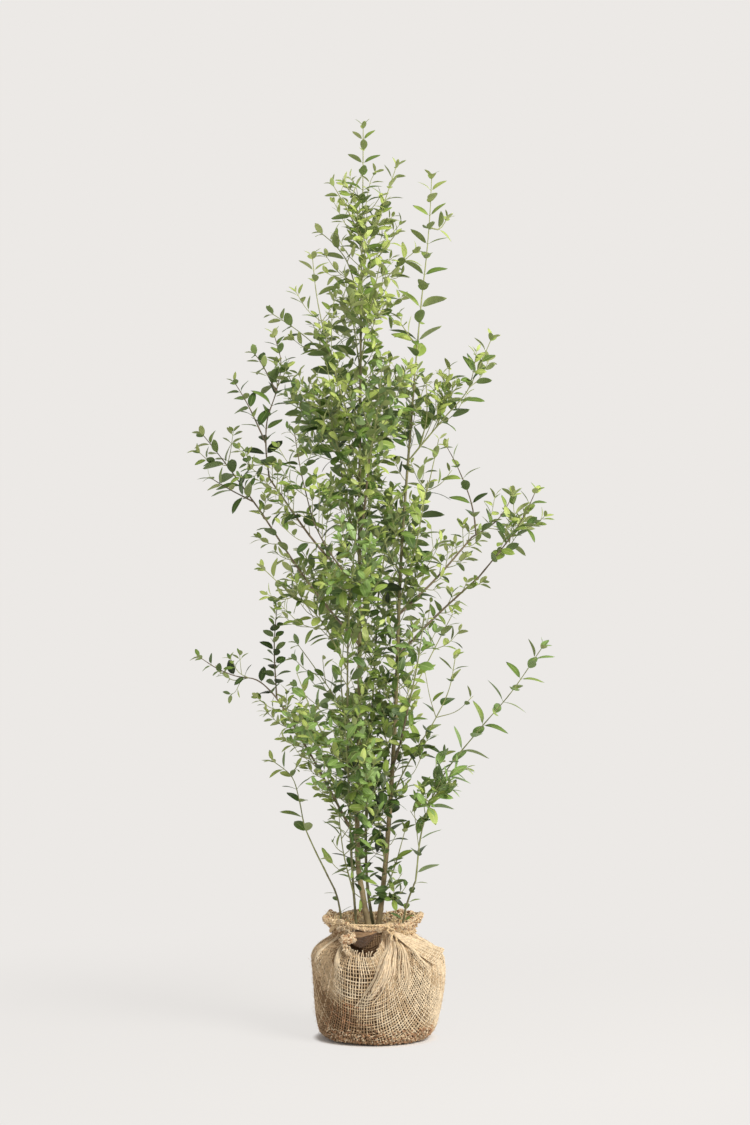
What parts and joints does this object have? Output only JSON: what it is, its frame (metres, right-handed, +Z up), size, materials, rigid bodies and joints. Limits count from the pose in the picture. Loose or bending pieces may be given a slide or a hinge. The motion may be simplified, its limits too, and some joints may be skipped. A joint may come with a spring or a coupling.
{
  "type": "broad-leaved hedging shrub with burlap-wrapped root ball",
  "caption": "Slender many-stemmed leafy shrub, ready for planting, that stands on the flat underside of a soil root ball wrapped in burlap and tied with twine.",
  "frame": {"origin": "the centre of the root ball's flat underside, on the floor", "axes": "+Z up along the stems; -Y is the side that the picture shows, with +X to its right"},
  "size_m": [0.6773, 0.5266, 1.722],
  "materials": {
    "burlap": "coarse open-weave jute, matt tan, browner at the gathered neck",
    "twine": "twisted natural twine, matt",
    "soil": "dark crumbly moist soil",
    "bark": "smooth tan-brown bark with fine raised dots, greener on young shoots",
    "foliage": "satin leaves, yellow-green when young and deep green when older"
  },
  "bodies": {
    "root": {"soil_ball": "soil", "burlap_wrap": "burlap", "twine": "twine", "stem_leader": "bark", "stem_right": "bark", "stem_back": "bark", "stem_front": "bark", "stem_thin_left": "bark", "stem_thin_right": "bark", "bough_back_low": "bark", "bough_back_mid": "bark", "bough_front_low": "bark", "bough_front_mid": "bark", "bough_left_dark": "bark", "bough_left_low": "bark", "bough_left_mid": "bark", "bough_right_long": "bark", "bough_right_mid": "bark", "leaves_back_foot": "foliage", "leaves_back_low": "foliage", "leaves_back_low_right": "foliage", "leaves_back_mid": "foliage", "leaves_back_mid_right": "foliage", "leaves_back_upper": "foliage", "leaves_back_upper_right": "foliage", "leaves_front_foot": "foliage", "leaves_front_low": "foliage", "leaves_front_low_right": "foliage", "leaves_front_mid": "foliage", "leaves_front_mid_right": "foliage", "leaves_front_upper": "foliage", "leaves_front_upper_left": "foliage", "leaves_high_back": "foliage", "leaves_high_front": "foliage", "leaves_left_arch": "foliage", "leaves_left_back_low": "foliage", "leaves_left_back_mid": "foliage", "leaves_left_bush": "foliage", "leaves_left_dark": "foliage", "leaves_left_foot": "foliage", "leaves_left_high": "foliage", "leaves_left_inner": "foliage", "leaves_left_low": "foliage", "leaves_left_mid": "foliage", "leaves_left_shoot": "foliage", "leaves_left_upper": "foliage", "leaves_middle_foot": "foliage", "leaves_right_foot": "foliage", "leaves_right_fork": "foliage", "leaves_right_long": "foliage", "leaves_right_low": "foliage", "leaves_right_low_long": "foliage", "leaves_right_mid": "foliage", "leaves_right_upper": "foliage", "leaves_top_back": "foliage", "leaves_top_left": "foliage", "leaves_top_middle": "foliage", "leaves_top_right": "foliage"}
  },
  "joints": []
}
